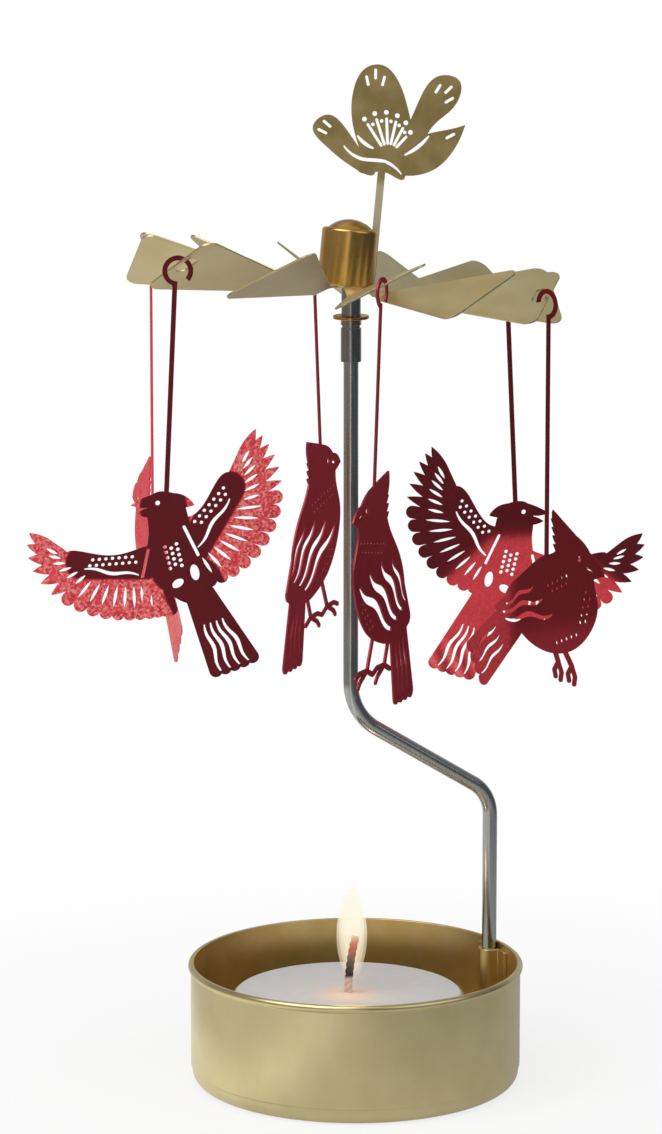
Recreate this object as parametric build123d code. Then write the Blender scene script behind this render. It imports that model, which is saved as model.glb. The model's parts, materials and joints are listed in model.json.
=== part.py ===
from build123d import *
import os
from collections import namedtuple
from math import atan2, cos, degrees, pi, radians, sin, sqrt, tan

# Rotary tealight holder: a brass cup with a bent steel stem, on whose needle a twelve-bladed
# propeller turns in the warm air of the flame, with six sheet-metal birds hung from its blades.
# Millimetres. The origin is the middle of the cup's underside, +Z is up and -Y is the front.

# Cup
cup_diameter = 54.0
cup_height = 19.85
cup_wall = 0.5
cup_floor = 0.6
cup_corner = 2.0
base_step_height = 2.6
base_step = 0.2
rim_bead = 0.4
rim_bead_height = 1.2

# Stem, in degrees from +X towards +Y where it stands
rod_diameter = 2.4
rod_angle = 28.0
lower_bend_height = 45.25
upper_bend_height = 61.25
lower_bend_radius = 6.5
upper_bend_radius = 9.5
pivot_x = -0.8
pivot_y = 0.0
pivot_height = 141.05

# Socket strap that holds the stem against the cup's wall
strap_thickness = 0.5
strap_foot = 2.6
strap_top_gap = 1.0
strap_height = 11.0

# Ferrule, needle and washer at the head of the stem
ferrule_diameter = 3.3
ferrule_neck_diameter = 3.1
ferrule_drop = 22.1
ferrule_length = 13.8
ferrule_shoulder_drop = 15.2
ferrule_groove_drop = 16.7
ferrule_groove_width = 0.5
ferrule_groove_depth = 0.2
rod_top_drop = 16.2
needle_diameter = 1.2
needle_point = 2.6
needle_tip_radius = 0.1
washer_diameter = 5.8
washer_thickness = 0.5

# Cap that stands on the needle
cap_diameter = 9.0
cap_height = 10.5
cap_wall = 0.4
cap_top_wall = 0.6
cap_body_height = 9.0
cap_shoulder_radius = 0.5
cap_dome_diameter = 7.2
tip_gap = 0.1

# Propeller, cut and twisted from one sheet
sheet = 0.3
blade_count = 12
blade_tip_radius = 34.25
blade_tip_width = 16.8
blade_root_width = 2.8
blade_corner = 1.8
blade_pitch = 31.0
blade_start_drop = 1.7
blade_slope = 5.3
first_blade = 8.9
hub_diameter = 14.0
neck_length = 3.0
hook_slot_length = 4.4
hook_slot_width = 2.0
hook_bridge = 0.6

# The finial weighs the rotor down on its own side, so the rotor leans that way on the needle
lean_angle = 7.8
lean_bearing = 136.5

# Flower finial
flower_stem_width = 1.2
flower_stem_height = 18.4
flower_stem_lap = 1.5
flower_foot_length = 1.9
flower_seat_radius = 5.8
flower_seat_bearing = 135.0

# Birds and their hangers. The outlines of the birds and the flower are drawn in drawing units.
drawing_unit = 1.0
hanger_width = 0.75
ring_diameter = 4.8
ring_gap_angle = 50.0
ring_clearance = 0.3
flying_hanger = 34.95
perched_hanger = 29.3
hopping_hanger = 39.7
hook_yaw = -30.0
loose_hook_yaw = -53.0

# Shares of a pointed feather's length where its point starts, and of a wavy slit's width at its ends
point_start = 0.55
slit_end = 0.4

# Tealight
tealight_diameter = 38.0
tealight_rim = 13.45
tealight_wall = 0.3
tealight_x = -1.2
wax_height = 13.65
wick_diameter = 1.4
wick_height = 9.6
wick_bend_radius = 12.0
wick_bend_angle = 26.0
sustainer_diameter = 13.0
sustainer_thickness = 0.3
sustainer_neck_diameter = 3.0
sustainer_neck_height = 4.0

# Fits
press_clearance = 0.02
slip_clearance = 0.05

# Values worked out from the sizes above
cup_inner_radius = cup_diameter / 2 - cup_wall
cup_inner_corner = cup_corner - cup_wall
rod_radius = rod_diameter / 2
rod_seat_radius = cup_inner_radius - slip_clearance - rod_radius
pivot = Vector(pivot_x, pivot_y, pivot_height)
hub_top = pivot_height + tip_gap + cap_top_wall - cap_height
hub_middle = hub_top - sheet / 2
cap_inner_radius = cap_diameter / 2 - cap_wall
ring_inner_radius = ring_diameter / 2 - hanger_width
ring_middle_radius = (ring_diameter - hanger_width) / 2

# A fan of feathers: where its roots start and end, the angles and lengths of its first and last feather,
# their count and width, how much longer the middle ones are and how late the angles open
Fan = namedtuple("Fan", "first last angles lengths count width bulge opening", defaults=(0.0, 1.0))


# Shared helpers

def bearing(angle):
    """Level direction at an angle from the front, turning towards +X."""
    return Vector(sin(radians(angle)), -cos(radians(angle)), 0)


lean_axis = Axis(pivot, bearing(lean_bearing + 90))


def leaned(shape):
    """A rotor piece at the rotor's lean on the needle."""
    return shape.rotate(lean_axis, lean_angle)


def leaned_point(point):
    """Where a point of the upright rotor lies when the rotor leans."""
    return pivot + (point - pivot).rotate(lean_axis, lean_angle)


def revolved(lines):
    """Solid of revolution about the Z axis from a closed profile of X, Z lines."""
    return revolve(Plane.XZ * make_face(lines), Axis.Z)


def tube(radius, bottom, top):
    """Upright cylinder on the pivot's axis between two heights."""
    return Pos(pivot_x, pivot_y, bottom) * Cylinder(
        radius, top - bottom, align=(Align.CENTER, Align.CENTER, Align.MIN))


# Cup and stem

def cup():
    """Drawn brass tin with a rounded base, a fine step above it and a curled rim."""
    outer = cup_diameter / 2
    foot = outer - base_step
    corner_top = cup_floor + cup_inner_corner
    profile = [
        Line((0, 0), (foot - cup_corner, 0)),
        RadiusArc((foot - cup_corner, 0), (foot, cup_corner), -cup_corner),
        Line((foot, cup_corner), (foot, base_step_height)),
        Line((foot, base_step_height), (outer, base_step_height + base_step)),
        Line((outer, base_step_height + base_step), (outer, cup_height - rim_bead_height)),
        ThreePointArc(
            (outer, cup_height - rim_bead_height),
            (outer + rim_bead, cup_height - rim_bead_height / 2),
            (outer, cup_height),
        ),
        Line((outer, cup_height), (cup_inner_radius, cup_height)),
        Line((cup_inner_radius, cup_height), (cup_inner_radius, corner_top)),
        RadiusArc(
            (cup_inner_radius, corner_top),
            (cup_inner_radius - cup_inner_corner, cup_floor),
            cup_inner_corner,
        ),
        Line((cup_inner_radius - cup_inner_corner, cup_floor), (0, cup_floor)),
        Line((0, cup_floor), (0, 0)),
    ]
    return revolved(profile)


def stem_socket():
    """Strap bent round the stem's foot, with two feet that lie along the cup's wall."""
    hole = rod_radius + slip_clearance
    back = hole + strap_thickness
    wall_radius = cup_inner_radius - press_clearance
    reach = cup_inner_radius - rod_seat_radius + strap_thickness
    at_rod = Pos(rod_seat_radius, 0)
    from_rod = Align.MIN, Align.CENTER
    loop = at_rod * Circle(back) + at_rod * Rectangle(reach, 2 * back, align=from_rod)
    channel = at_rod * Circle(hole) + at_rod * Rectangle(reach, 2 * hole, align=from_rod)
    feet = Pos(wall_radius - reach, 0) * Rectangle(2 * reach, 2 * (back + strap_foot), align=from_rod)
    feet -= Circle(wall_radius - strap_thickness)
    section = (loop + feet - channel) & Circle(wall_radius)
    bottom = cup_height - strap_top_gap - strap_height
    return Pos(0, 0, bottom) * Rot(0, 0, rod_angle) * extrude(section, strap_height)


def stem_rod():
    """Steel wire from the cup's rounded corner, bent over to stand on the pivot's axis."""
    turn = radians(rod_angle)
    foot = Vector(rod_seat_radius * cos(turn), rod_seat_radius * sin(turn), cup_floor + cup_inner_corner)
    lower = Vector(foot.X, foot.Y, lower_bend_height)
    upper = Vector(pivot_x, pivot_y, upper_bend_height)
    head = Vector(pivot_x, pivot_y, pivot_height - rod_top_drop)
    path = FilletPolyline(foot, lower, upper, head, radius=[lower_bend_radius, upper_bend_radius])
    return sweep(Plane(foot, z_dir=(0, 0, 1)) * Circle(rod_radius), path)


def ferrule():
    """Steel sleeve that joins the rod to the needle, with a shoulder for the washer."""
    bottom = pivot_height - ferrule_drop
    shoulder = pivot_height - ferrule_shoulder_drop
    rod_top = pivot_height - rod_top_drop
    groove = pivot_height - ferrule_groove_drop
    body = tube(ferrule_diameter / 2, bottom, shoulder)
    body += tube(ferrule_neck_diameter / 2, shoulder, bottom + ferrule_length)
    ring = tube(ferrule_diameter / 2, groove, groove + ferrule_groove_width)
    ring -= tube(ferrule_diameter / 2 - ferrule_groove_depth, groove, groove + ferrule_groove_width)
    body -= ring
    body -= tube(rod_radius + press_clearance, bottom, rod_top)
    return body - tube(needle_diameter / 2 + press_clearance, rod_top, bottom + ferrule_length)


def needle():
    """Pivot needle pressed into the ferrule, ground to a blunt point."""
    radius = needle_diameter / 2
    bottom = pivot_height - rod_top_drop
    shaft = tube(radius, bottom, pivot_height - needle_point)
    point = Pos(pivot_x, pivot_y, pivot_height - needle_point) * Cone(
        radius, needle_tip_radius, needle_point, align=(Align.CENTER, Align.CENTER, Align.MIN))
    return shaft + point


def washer():
    """Brass washer on the ferrule's shoulder."""
    bottom = pivot_height - ferrule_shoulder_drop
    disc = tube(washer_diameter / 2, bottom, bottom + washer_thickness)
    return disc - tube(ferrule_neck_diameter / 2 + press_clearance, bottom, bottom + washer_thickness)


# Rotor

def pivot_cap():
    """Polished cap with a shoulder and a dome, hollow so that it stands on the needle's point."""
    radius = cap_diameter / 2
    dome = cap_dome_diameter / 2
    inner_body = cap_body_height - cap_wall
    inner_dome = dome - cap_wall
    inner_top = cap_height - cap_top_wall
    shoulder = cap_body_height - cap_shoulder_radius
    dome_radius = (dome ** 2 + (cap_height - cap_body_height) ** 2) / (2 * (cap_height - cap_body_height))
    hollow_rise = inner_top - inner_body
    hollow_radius = (inner_dome ** 2 + hollow_rise ** 2) / (2 * hollow_rise)
    profile = [
        Line((cap_inner_radius, 0), (radius, 0)),
        Line((radius, 0), (radius, shoulder)),
        RadiusArc((radius, shoulder), (radius - cap_shoulder_radius, cap_body_height), -cap_shoulder_radius),
        Line((radius - cap_shoulder_radius, cap_body_height), (dome, cap_body_height)),
        RadiusArc((dome, cap_body_height), (0, cap_height), -dome_radius),
        Line((0, cap_height), (0, inner_top)),
        RadiusArc((0, inner_top), (inner_dome, inner_body), hollow_radius),
        Line((inner_dome, inner_body), (cap_inner_radius, inner_body)),
        Line((cap_inner_radius, inner_body), (cap_inner_radius, 0)),
    ]
    return leaned(Pos(pivot_x, pivot_y, hub_top) * revolved(profile))


def blade_plane(angle):
    """Plane of one pitched blade: X runs outwards and a little up, and Y up along its chord."""
    outward = bearing(angle) * cos(radians(blade_slope)) + Vector(0, 0, sin(radians(blade_slope)))
    along = bearing(angle + 90)
    normal = outward.cross(along) * cos(radians(blade_pitch)) - along * sin(radians(blade_pitch))
    return Plane((pivot_x, pivot_y, hub_middle - blade_start_drop), x_dir=outward, z_dir=normal)


def hook_drop(angle, yaw):
    """How far the ring's middle hangs below the bridge when the ring rests on the bridge's highest corner."""
    normal = blade_plane(angle).z_dir.rotate(lean_axis, lean_angle)
    half_bridge = hook_bridge / 2 / cos(radians(yaw)) + sheet / 2 * abs(tan(radians(yaw)))
    along = half_bridge * abs(normal.dot(bearing(angle + yaw)))
    across = sheet / 2 * abs(normal.dot(bearing(angle + yaw + 90)))
    rise = (sheet / 2 + along + across) / normal.Z
    return sqrt((ring_inner_radius - ring_clearance) ** 2 - half_bridge ** 2) - rise


def hook_slot(angle, yaw):
    """Slot along a blade's tip, through which the ring passes to hold on to the bridge that is left outside it."""
    crossing = sqrt(ring_middle_radius ** 2 - hook_drop(angle, yaw) ** 2)
    inward = blade_tip_radius - hook_bridge - hook_slot_width / 2
    place = Pos(inward, -crossing * sin(radians(yaw)) / 2 / cos(radians(blade_pitch)))
    return place * SlotOverall(hook_slot_length, hook_slot_width, rotation=90)


def blade(angle, yaw):
    """One blade: a neck twisted from level to the pitch, then a flat plate with rounded corners."""
    root = hub_diameter / 2
    start = root + neck_length
    half_root = blade_root_width / 2
    half_tip = blade_tip_width / 2
    plate = make_face(Polyline(
        (start, -half_root), (blade_tip_radius, -half_tip), (blade_tip_radius, half_tip), (start, half_root),
        close=True))
    plate = fillet(plate.vertices().group_by(Axis.X)[-1], blade_corner)
    if yaw is not None:
        plate -= hook_slot(angle, yaw)
    pitched = blade_plane(angle)
    level = Plane((pivot_x, pivot_y, hub_middle), x_dir=bearing(angle), z_dir=(0, 0, 1))
    sections = []
    for plane, radius in ((level, root), (pitched, start)):
        across = Plane(plane.from_local_coords((radius, 0, 0)), x_dir=plane.y_dir, z_dir=plane.x_dir)
        sections.append(across * Rectangle(blade_root_width, sheet))
    neck = loft(sections, ruled=True)
    return neck + extrude(pitched * plate, sheet / 2, both=True)


def propeller():
    """Twelve pitched blades round a flat hub, with a hook slot near the tip of every second blade."""
    turn = 360 / blade_count
    flats = RegularPolygon(hub_diameter / 2, blade_count, major_radius=False, rotation=turn / 2)
    hub = Rot(0, 0, first_blade) * flats - Circle(cap_inner_radius)
    shape = Pos(pivot_x, pivot_y, hub_middle) * extrude(hub, sheet / 2, both=True)
    yaws = {hook.place: hook.yaw for hook in hooks.values()}
    blades = [blade(first_blade + turn * i, yaws.get(i)) for i in range(blade_count)]
    return leaned(shape + blades)


# Flat drawn shapes: feathers, petals and slits

def rounded(*points):
    """Face inside a smooth closed curve through the points."""
    return make_face(Spline(*points, periodic=True))


def pointed(*points):
    """Face inside straight lines between the points."""
    return make_face(Polyline(*points, close=True))


def leaf(tip, upper, base, lower):
    """Face with a sharp tip, between two smooth edges that meet at the tip and at the base."""
    return make_face([Spline(tip, *upper, base), Spline(base, *lower, tip)])


def bar(start, end, width):
    """Strip with round ends between two points."""
    run = Vector(*end) - Vector(*start)
    middle = (Vector(*start) + Vector(*end)) * 0.5
    turn = degrees(atan2(run.Y, run.X))
    return Pos(middle) * Rot(0, 0, turn) * SlotCenterToCenter(run.length, width)


def wavy_slit(start, end, width, swing, waves=1.5):
    """Slit between two points that swings from side to side and narrows to its ends."""
    start, end = Vector(*start), Vector(*end)
    side = (end - start).rotate(Axis.Z, 90).normalized()
    steps = int(6 * waves)
    edges = []
    for edge in (1, -1):
        places = []
        for i in range(steps + 1):
            share = i / steps
            half_width = width / 2 * (slit_end + (1 - slit_end) * sin(pi * share))
            offset = swing * sin(2 * pi * waves * share) + edge * half_width
            places.append(start + (end - start) * share + side * offset)
        edges.append(places)
    left, right = edges
    return make_face([
        Spline(*left), Line(left[-1], right[-1]), Spline(*right), Line(left[0], right[0])])


def dots(start, end, count, rows, spacing, size):
    """Staggered rows of round holes between two points."""
    start, end = Vector(*start), Vector(*end)
    side = (end - start).rotate(Axis.Z, 90).normalized()
    holes = []
    for row in range(rows):
        for i in range(count - row % 2):
            share = (i + row % 2 / 2) / (count - 1)
            place = start + (end - start) * share + side * spacing * (row - (rows - 1) / 2)
            holes.append(Pos(place) * Circle(size / 2))
    return holes


def fan_line(fan, share):
    """Root, angle and length of the feather that lies at a share of the fan."""
    first, last = Vector(*fan.first), Vector(*fan.last)
    angle = fan.angles[0] + (fan.angles[1] - fan.angles[0]) * share ** fan.opening
    length = fan.lengths[0] + (fan.lengths[1] - fan.lengths[0]) * share + fan.bulge * sin(pi * share)
    return first + (last - first) * share, angle, length


def feather(length, width, sharp):
    """One feather that lies along X from its root, with a round or a pointed end."""
    if not sharp:
        return Pos(length / 2, 0) * SlotOverall(length, width)
    half = width / 2
    neck = point_start * length
    bend = ((length - neck) ** 2 + half ** 2) / width
    return make_face([
        Line((0, half), (0, -half)),
        Line((0, -half), (neck, -half)),
        RadiusArc((neck, -half), (length, 0), -bend),
        RadiusArc((length, 0), (neck, half), -bend),
        Line((neck, half), (0, half)),
    ])


def feathers(fan, sharp=0):
    """Overlapping feathers of a fan with round ends, the last few of them pointed."""
    made = []
    for i in range(fan.count):
        root, angle, length = fan_line(fan, i / (fan.count - 1))
        made.append(Pos(root) * Rot(0, 0, angle) * feather(length, fan.width, i >= fan.count - sharp))
    return made


def lens(length, width):
    """Slit along X that narrows to a point at both ends."""
    bend = (length ** 2 / 4 + width ** 2 / 4) / width
    return make_face([
        RadiusArc((-length / 2, 0), (length / 2, 0), -bend), RadiusArc((length / 2, 0), (-length / 2, 0), -bend)])


def feather_slits(fan, span, sharp_span, width, sharp, first=2):
    """Slits between neighbouring feathers over a span of their length, and another span between pointed ones."""
    made = []
    for i in range(first, fan.count - 1):
        root, angle, length = fan_line(fan, (i + 0.5) / (fan.count - 1))
        start, stop = span if i < fan.count - sharp - 1 else sharp_span
        slit = Pos(length * (start + stop) / 2, 0) * lens(length * (stop - start), width)
        made.append(Pos(root) * Rot(0, 0, angle) * slit)
    return made


def tail_slits(fan, start, stop, width, swing):
    """Wavy slits between neighbouring tail feathers."""
    made = []
    for i in range(fan.count - 1):
        root, angle, length = fan_line(fan, (i + 0.5) / (fan.count - 1))
        slit = wavy_slit((length * start, 0), (length * stop, 0), width, swing)
        made.append(Pos(root) * Rot(0, 0, angle) * slit)
    return made


# Birds, drawn from the foot of the hanger, with the head towards +X

def flying_bird():
    """Songbird in flight, one wing spread outwards and the other raised."""
    out_wing = Fan((1.4, -11.6), (15.2, -11.0), (-110, 34), (8.2, 7.8), 17, 2.1, 0.9, 1.8)
    raised_wing = Fan((-3.2, -9.8), (-9.8, 2.0), (258, 112), (5.4, 9.2), 17, 2.1, 3.4)
    tail = Fan((-3.6, -14.4), (-5.6, -13.8), (-110, -126), (15.6, 15.8), 5, 2.1)
    primaries = 6
    metal = rounded(
        (0.2, 0.3), (2.9, -0.7), (3.3, -3.0), (2.9, -6.2), (3.0, -9.8), (1.2, -13.4),
        (-2.2, -16.8), (-5.8, -17.2), (-6.4, -13.0), (-5.2, -9.0), (-3.4, -4.4), (-2.3, -1.1))
    metal += feathers(out_wing, primaries) + feathers(raised_wing, primaries) + feathers(tail)
    metal += rounded((1.6, -7.2), (5.4, -9.2), (10.4, -9.9), (15.6, -9.7), (13.4, -13.2), (8.0, -14.6), (2.4, -14.9))
    metal += rounded(
        (-2.4, -3.6), (-6.0, -0.8), (-9.6, 3.6), (-11.2, 2.6), (-10.4, -1.6), (-8.2, -6.8), (-4.6, -10.6))
    metal += leaf((5.9, -2.0), ((4.2, -0.9),), (2.0, 0.0), ((2.4, -1.6),))
    metal += leaf((5.0, -3.3), ((3.9, -2.6),), (2.4, -2.2), ((2.6, -3.4),))
    metal += leaf((-4.1, -1.7), ((-2.9, -0.5),), (-0.8, 0.1), ((-1.8, -1.9),))
    cuts = feather_slits(out_wing, (0.38, 0.78), (0.32, 0.58), 0.5, primaries)
    cuts += feather_slits(raised_wing, (0.32, 0.72), (0.40, 0.66), 0.5, primaries)
    cuts += tail_slits(tail, 0.44, 0.95, 0.6, 0.22)
    cuts += dots((4.8, -10.5), (12.0, -11.2), 8, 2, 0.9, 0.55)
    cuts += dots((-4.6, -4.6), (-8.9, 0.8), 7, 2, 0.9, 0.55)
    cuts += dots((-0.6, -8.2), (-1.6, -11.6), 5, 3, 0.95, 0.6)
    cuts += [
        wavy_slit((4.2, -13.0), (12.8, -12.2), 0.6, 0.22),
        wavy_slit((-4.9, -8.4), (-9.6, -0.6), 0.6, 0.22),
        bar((2.9, -9.0), (3.6, -13.2), 0.5),
        bar((-2.6, -5.2), (-5.0, -9.6), 0.5),
        Pos(-4.6, -12.4) * Rot(0, 0, 75) * Ellipse(1.3, 0.7),
        Pos(-2.0, -14.2) * Rot(0, 0, -35) * Ellipse(1.0, 0.65),
        Pos(1.7, -1.5) * Circle(0.38),
    ]
    return metal - cuts, flying_hanger


def perched_bird():
    """Crested songbird standing with its wing folded and its tail down."""
    wing = Fan((2.0, -15.0), (-9.5, -11.0), (-146, -122), (17.0, 14.0), 7, 2.7)
    tail = Fan((-9.6, -22.0), (-13.6, -20.4), (-104, -112), (13.6, 15.4), 4, 2.3)
    crest_teeth = 5
    metal = rounded(
        (0.8, -0.6), (4.8, -2.0), (6.7, -4.6), (6.6, -7.2), (8.2, -12.6), (6.6, -18.0), (2.2, -22.4),
        (-4.6, -24.8), (-11.0, -24.6), (-14.6, -19.0), (-11.2, -11.0), (-6.4, -6.6), (-3.4, -2.6))
    metal += feathers(wing) + feathers(tail)
    metal += leaf((-5.6, 1.8), ((-1.0, 0.4),), (3.0, -0.9), ((-1.6, -4.6), (-4.4, -3.2)))
    for i in range(crest_teeth):
        share = i / (crest_teeth - 1)
        place = Pos(-4.4 - 0.6 * share, 0.2 - 5.2 * share)
        metal += place * leaf((-1.2, 0.5), ((-0.2, 0.5),), (1.6, 0.1), ((0.2, -0.9),))
    metal += leaf((9.2, -5.3), ((7.6, -3.6),), (5.4, -2.9), ((6.4, -6.2), (7.8, -5.9)))
    for hip, ankle in (((-1.6, -22.8), (0.8, -28.6)), ((-8.6, -23.4), (-6.8, -28.4))):
        x, y = ankle
        metal += [
            bar(hip, ankle, 0.9),
            bar(ankle, (x + 3.2, y - 0.2), 0.8),
            bar((x + 3.2, y - 0.2), (x + 4.8, y - 0.9), 0.8),
            bar(ankle, (x + 2.8, y - 1.5), 0.8),
            bar((x + 2.8, y - 1.5), (x + 3.6, y - 2.4), 0.8),
            bar(ankle, (x - 2.4, y - 0.8), 0.8),
        ]
    cuts = tail_slits(tail, 0.26, 0.94, 0.75, 0.2)
    cuts += [
        wavy_slit((5.4, -15.4), (-9.2, -23.0), 1.5, 0.5),
        wavy_slit((1.2, -13.6), (-11.6, -21.6), 1.5, 0.5),
        wavy_slit((-3.6, -12.2), (-14.0, -20.4), 1.4, 0.5),
        wavy_slit((-8.2, -11.8), (-15.6, -19.2), 1.0, 0.35),
        bar((5.4, -4.4), (6.6, -4.8), 0.4),
        Pos(3.5, -3.8) * Circle(0.5),
    ]
    cuts += dots((5.6, -9.2), (-4.4, -10.0), 8, 2, 1.4, 0.65)
    cuts += dots((4.2, -18.4), (-0.4, -22.2), 5, 2, 1.1, 0.65)
    return metal - cuts, perched_hanger


def hopping_bird():
    """Crested songbird in mid hop, with its tail behind it and its feet hanging."""
    wing = Fan((4.6, -7.6), (-3.2, -4.2), (-163, -138), (16.4, 11.0), 7, 2.4)
    tail = Fan((-5.0, -11.6), (-7.4, -8.8), (-131, -139), (15.8, 14.8), 4, 2.1)
    crest_teeth = 4
    metal = rounded(
        (4.6, 4.0), (8.2, 3.4), (11.0, 0.6), (11.4, -2.6), (12.4, -6.6), (10.4, -11.6), (5.4, -15.2),
        (-0.8, -15.6), (-6.8, -12.6), (-9.4, -8.6), (-5.0, -3.8), (0.2, -0.3), (3.0, 1.2))
    metal += feathers(wing) + feathers(tail)
    metal += leaf((1.8, 7.2), ((4.4, 5.6),), (7.8, 3.5), ((4.4, 1.6), (3.0, 2.8)))
    for i in range(crest_teeth):
        share = i / (crest_teeth - 1)
        place = Pos(2.6 + 0.6 * share, 5.2 - 4.0 * share)
        metal += place * leaf((-1.2, 0.6), ((-0.2, 0.6),), (1.8, 0.2), ((0.3, -0.9),))
    metal += leaf((14.0, -1.8), ((12.6, 0.4),), (10.2, 1.6), ((10.8, -2.8), (12.2, -2.3)))
    for hip, ankle in (((4.4, -14.4), (6.6, -17.2)), ((2.2, -14.6), (3.4, -17.0))):
        x, y = ankle
        metal += [
            bar(hip, ankle, 0.9),
            bar(ankle, (x - 0.9, y - 1.4), 0.8),
            bar((x - 0.9, y - 1.4), (x - 0.6, y - 2.4), 0.8),
            bar(ankle, (x + 0.8, y - 1.6), 0.8),
            bar((x + 0.8, y - 1.6), (x + 0.6, y - 2.8), 0.8),
        ]
    cuts = tail_slits(tail, 0.42, 0.94, 0.6, 0.2)
    cuts += [
        wavy_slit((2.0, -9.6), (-9.6, -12.0), 0.9, 0.4),
        wavy_slit((-0.4, -7.4), (-10.2, -11.0), 0.8, 0.35),
        wavy_slit((-2.6, -5.6), (-9.4, -9.6), 0.7, 0.3),
        bar((10.0, -1.0), (11.2, -1.4), 0.4),
        Pos(8.2, 0.2) * Circle(0.5),
    ]
    cuts += dots((10.2, -5.0), (9.0, -10.0), 5, 2, 1.1, 0.6)
    cuts += dots((5.4, -3.4), (1.0, -5.6), 5, 2, 1.1, 0.6)
    cuts += dots((7.6, -12.0), (3.0, -14.0), 5, 1, 1.1, 0.6)
    return metal - cuts, hopping_hanger


def hanger(length):
    """Flat strip from an open ring, whose middle is the origin, down to the bird."""
    outer = ring_diameter / 2
    ring = Circle(outer) - Circle(ring_inner_radius)
    gap = radians(ring_gap_angle)
    ring -= pointed((0, 0), (0, -2 * outer), (-2 * outer * sin(gap), -2 * outer * cos(gap)))
    strip = Pos(0, -ring_middle_radius) * Rectangle(
        hanger_width, length - ring_middle_radius + hanger_width, align=(Align.MIN, Align.MAX))
    return ring + strip


def hung_flat(bird):
    """Hanger and bird as one flat face, turned so that its weight hangs straight below the ring."""
    body, length = bird
    flat = hanger(length) + Pos(0, -length) * scale(body, drawing_unit)
    middle = flat.center(CenterOf.MASS)
    return Rot(0, 0, -degrees(atan2(middle.X, -middle.Y))) * flat


Hook = namedtuple("Hook", "place bird yaw")

# Each bird's blade, counted from the first one, its drawing and the yaw of its ring
hooks = {
    "perched_bird_front": Hook(0, "perched", hook_yaw),
    "hopping_bird_right": Hook(2, "hopping", hook_yaw),
    "flying_bird_right": Hook(4, "flying", hook_yaw),
    "perched_bird_back": Hook(6, "perched", hook_yaw),
    "hopping_bird_left": Hook(8, "hopping", loose_hook_yaw),
    "flying_bird_left": Hook(10, "flying", hook_yaw),
}


def ring_plane(hook):
    """Plane of a hanging bird: its origin is the ring's middle, X points outwards and Y up."""
    angle = first_blade + 360 / blade_count * hook.place
    bridge = blade_plane(angle).from_local_coords((blade_tip_radius - hook_bridge / 2, 0, 0))
    middle = leaned_point(bridge) - Vector(0, 0, hook_drop(angle, hook.yaw))
    outward = bearing(angle + hook.yaw)
    return Plane(middle, x_dir=outward, z_dir=outward.cross(Vector(0, 0, 1)))


def flower_head():
    """Pierced five-petalled flower, flat, with the middle of its underside at the origin."""
    metal = rounded(
        (-2.6, 1.0), (-5.2, 6.8), (-5.7, 12.4), (-3.8, 16.4), (-1.4, 16.9), (1.2, 14.8), (3.4, 10.0), (3.4, 3.0))
    metal += rounded((1.4, 4.6), (4.8, 11.6), (8.2, 16.2), (11.0, 15.6), (10.8, 11.8), (7.0, 7.2), (3.4, 2.4))
    metal += rounded((-1.4, 1.2), (-6.0, 6.0), (-9.8, 8.2), (-11.6, 6.2), (-9.4, 3.4), (-5.2, 0.6), (-1.0, 0.0))
    metal += leaf(
        (12.6, 8.7), ((9.6, 7.6), (7.0, 6.8), (4.2, 5.2)), (1.0, 0.2), ((4.6, -0.2), (8.4, 1.2), (11.2, 4.6)))
    metal += rounded((-4.4, 1.8), (0.0, 3.6), (3.6, 1.6), (3.6, -0.9), (0.4, 0.0), (-3.6, -0.3))
    stamens = 6
    cuts = []
    for i in range(stamens):
        share = i / (stamens - 1)
        reach = 4.4 + 1.0 * share - 2.8 * share ** 2
        ray = Pos(0.8, 2.6) * Rot(0, 0, 128 - 76 * share)
        cuts.append(ray * Pos(1.8 + reach / 2, 0) * SlotOverall(reach, 0.45))
        cuts.append(ray * Pos(2.6 + reach, 0) * Circle(0.38))
        if i < stamens - 1:
            cuts.append(ray * Rot(0, 0, -7) * Pos(1.2 + reach, 0) * Circle(0.28))
    petal_tips = (((-2.4, 15.4), 94, 3), ((9.4, 14.0), 50, 3), ((-10.1, 6.4), 152, 2), ((10.4, 6.7), 34, 1))
    for (x, y), angle, count in petal_tips:
        for i in range(count):
            across = 1.5 * (i - (count - 1) / 2)
            place = Pos(x, y) * Rot(0, 0, angle + 9 * across) * Pos(-abs(across) / 2, across)
            cuts.append(place * SlotOverall(1.7, 0.45))
    cuts += [
        wavy_slit((-6.4, 3.6), (3.2, -0.1), 0.6, -0.7, 1),
        wavy_slit((3.4, 3.0), (7.0, 6.4), 0.6, -0.3, 0.5),
        wavy_slit((-4.4, 5.4), (-1.6, 3.6), 0.6, -0.25, 0.5),
    ]
    return metal - cuts


def flower():
    """Flower on a flat stem, with a foot bent over onto the hub."""
    seat = Vector(pivot_x, pivot_y, 0) + bearing(flower_seat_bearing) * flower_seat_radius
    head = Vector(seat.X, seat.Y, hub_top + flower_stem_height)
    facing = Plane(head, x_dir=(1, 0, 0), z_dir=(0, -1, 0))
    stem_length = flower_stem_height + flower_stem_lap
    stem = Rectangle(flower_stem_width, stem_length, align=(Align.CENTER, Align.MIN))
    flat = scale(flower_head(), drawing_unit) + Pos(0, -flower_stem_height) * stem
    foot = Pos(seat.X, seat.Y - sheet / 2, hub_top) * Box(
        flower_stem_width, flower_foot_length, sheet, align=(Align.CENTER, Align.MIN, Align.MIN))
    return leaned(extrude(facing * flat, sheet / 2, both=True) + foot)


# Tealight

def tealight_disc(radius, bottom, height):
    """Upright disc on the tealight's axis, measured from the cup's floor."""
    return Pos(tealight_x, 0, cup_floor + bottom) * Cylinder(
        radius, height, align=(Align.CENTER, Align.CENTER, Align.MIN))


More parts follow.
